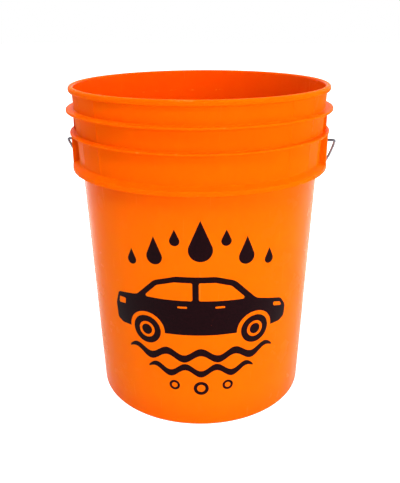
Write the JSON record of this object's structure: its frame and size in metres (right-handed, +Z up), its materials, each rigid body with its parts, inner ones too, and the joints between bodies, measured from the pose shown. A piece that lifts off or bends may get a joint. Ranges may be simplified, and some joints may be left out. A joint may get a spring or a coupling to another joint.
{
  "type": "wash bucket",
  "caption": "Open-head wash bucket: tapered moulded pail with rolled rim, stiffening flanges and side ears, a swinging steel wire bail and a spinning hand grip.",
  "frame": {"origin": "centre of the circle the pail stands on, at floor level (bounding-box bottom centre to within 3 mm; the bail leans on the back)", "axes": "+Z up along the pail's axis, X through the two bail ears and along the bail's hinge axis, -Y the printed front, +Y the back where the bail rests"},
  "size_m": [0.3254, 0.3144, 0.385],
  "materials": {
    "pail_plastic": "glossy injection-moulded orange polyethylene",
    "bail_steel": "drawn galvanised wire",
    "grip_plastic": "satin moulded black plastic"
  },
  "bodies": {
    "pail": {"pail_body": "pail_plastic"},
    "bail": {"bail_wire": "bail_steel"},
    "grip": {"bail_grip": "grip_plastic"}
  },
  "joints": [
    {"name": "bail_swing", "type": "hinge", "parent": "pail", "child": "bail", "pos_m": [0, 0, 0.318], "axis": [1, 0, 0], "range_deg": [0, 264]},
    {"name": "grip_spin", "type": "hinge", "parent": "bail", "child": "grip", "pos_m": [0, 0.14816, 0.18366], "axis": [1, 0, 0], "continuous": true}
  ]
}
